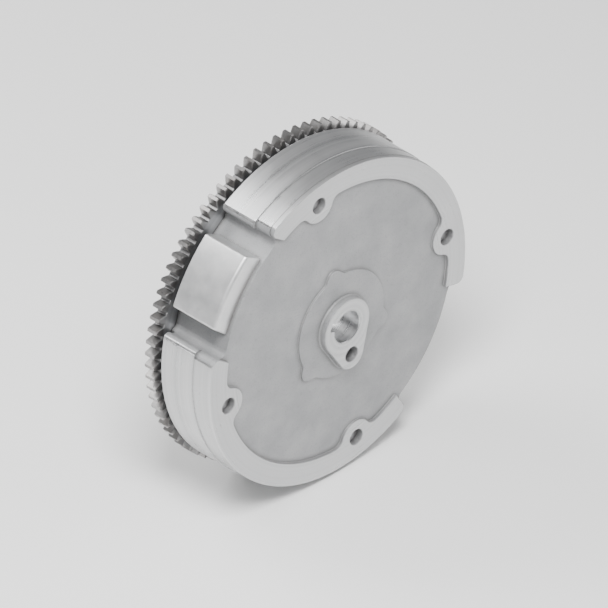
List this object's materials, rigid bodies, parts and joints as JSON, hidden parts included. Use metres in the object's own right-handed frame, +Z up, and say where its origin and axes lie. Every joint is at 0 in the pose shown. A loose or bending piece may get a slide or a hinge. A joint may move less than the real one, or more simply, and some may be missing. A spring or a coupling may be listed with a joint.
{
  "type": "flywheel",
  "caption": "Cast iron flywheel for a small engine, with a steel starter ring gear, an ignition magnet block on the rim, charging magnets inside it and a tapered, keyed hub.",
  "frame": {"origin": "on the crankshaft axis, half way between the hub's front face and the rim's rear face", "axes": "+Y along the crankshaft axis towards the engine, so the fan side and the hub boss face -Y; +X right and +Z up in the view of the fan side"},
  "size_m": [0.215, 0.059, 0.215],
  "materials": {
    "cast_iron": "fine cast skin with turned faces",
    "gear_steel": "machined",
    "cover_aluminium": "die cast",
    "ignition_ferrite": "matte, ground",
    "shoe_steel": "laminated, machined",
    "ignition_screw_zinc": "zinc plated",
    "charge_ferrite": "matte, ground",
    "stainless": "pressed sheet",
    "retainer_screw_zinc": "zinc plated"
  },
  "bodies": {
    "root": {"flywheel_body": "cast_iron", "ring_gear": "gear_steel", "ignition_magnet_cover": "cover_aluminium", "ignition_magnet": "ignition_ferrite", "pole_shoe_leading": "shoe_steel", "pole_shoe_trailing": "shoe_steel", "ignition_screw_leading": "ignition_screw_zinc", "ignition_screw_trailing": "ignition_screw_zinc", "charge_magnet_1": "charge_ferrite", "charge_magnet_2": "charge_ferrite", "charge_magnet_3": "charge_ferrite", "charge_magnet_4": "charge_ferrite", "charge_magnet_5": "charge_ferrite", "charge_magnet_6": "charge_ferrite", "magnet_retainer": "stainless", "retainer_screw_1": "retainer_screw_zinc", "retainer_screw_2": "retainer_screw_zinc", "retainer_screw_3": "retainer_screw_zinc", "retainer_screw_4": "retainer_screw_zinc", "retainer_screw_5": "retainer_screw_zinc", "retainer_screw_6": "retainer_screw_zinc"}
  },
  "joints": []
}
